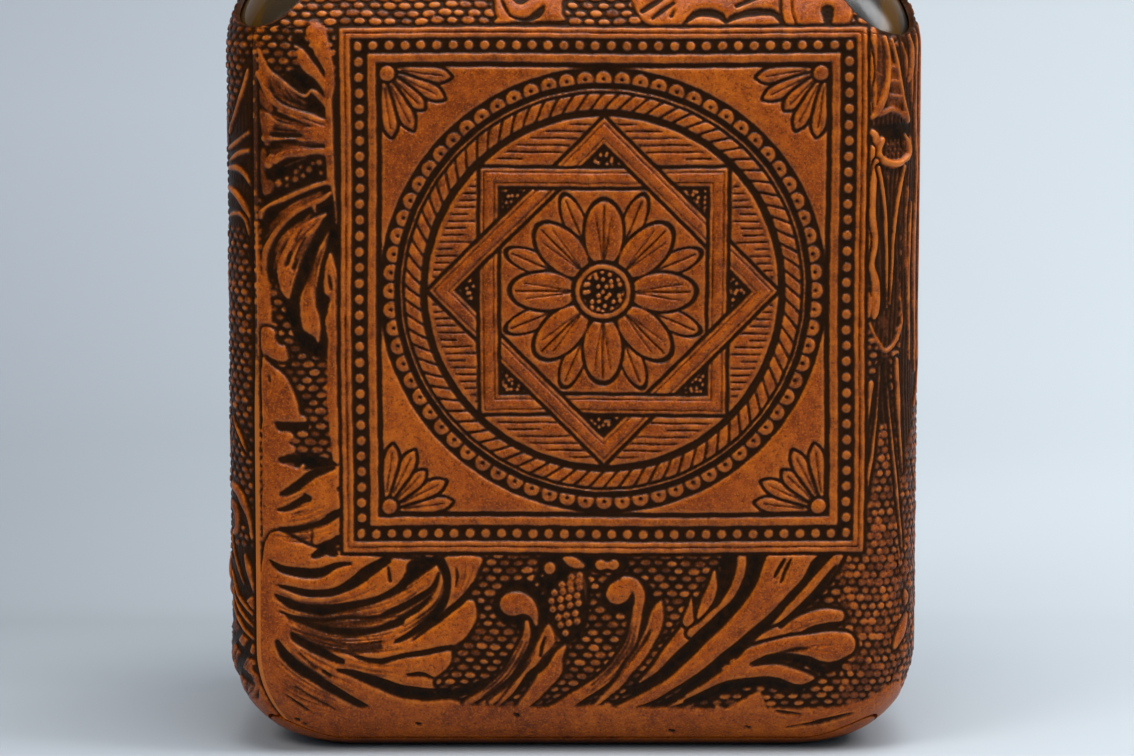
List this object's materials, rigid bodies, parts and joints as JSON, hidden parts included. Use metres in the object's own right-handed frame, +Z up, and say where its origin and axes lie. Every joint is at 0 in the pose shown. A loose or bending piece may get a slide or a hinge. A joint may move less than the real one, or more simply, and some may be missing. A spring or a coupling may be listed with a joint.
{
  "type": "leather-wrapped flask",
  "caption": "Flat-sided glass flask in a jacket of embossed leather with shoulder flaps, closed by a leather-covered cork stopper that lifts out of its round neck.",
  "frame": {"origin": "middle of the flat underside, on the surface that the flask stands on", "axes": "+Z up along the neck, +X along the wide side, front face towards -Y"},
  "size_m": [0.116, 0.072, 0.2129],
  "materials": {
    "amber_glass": "dark amber glass, fire polished",
    "embossed_leather": "embossed tan leather, near-black brown dye in the recesses, waxed",
    "base_leather": "smooth brown leather, rubbed",
    "rolled_leather": "dark brown rolled and plain leather",
    "cork": "natural cork",
    "wood": "bare turned beech"
  },
  "bodies": {
    "flask": {"glass_bottle": "amber_glass", "body_jacket": "embossed_leather", "base_leather": "base_leather", "neck_sleeve": "embossed_leather", "neck_collar": "rolled_leather"},
    "stopper": {"lip_washer": "rolled_leather", "cork_plug": "cork", "stopper_dowel": "wood", "stopper_core": "wood", "stopper_band": "embossed_leather", "stopper_cap": "embossed_leather"}
  },
  "joints": [
    {"name": "stopper_lift", "type": "slide", "parent": "flask", "child": "stopper", "axis": [0, 0, 1], "range_m": [0, 0.045]}
  ]
}
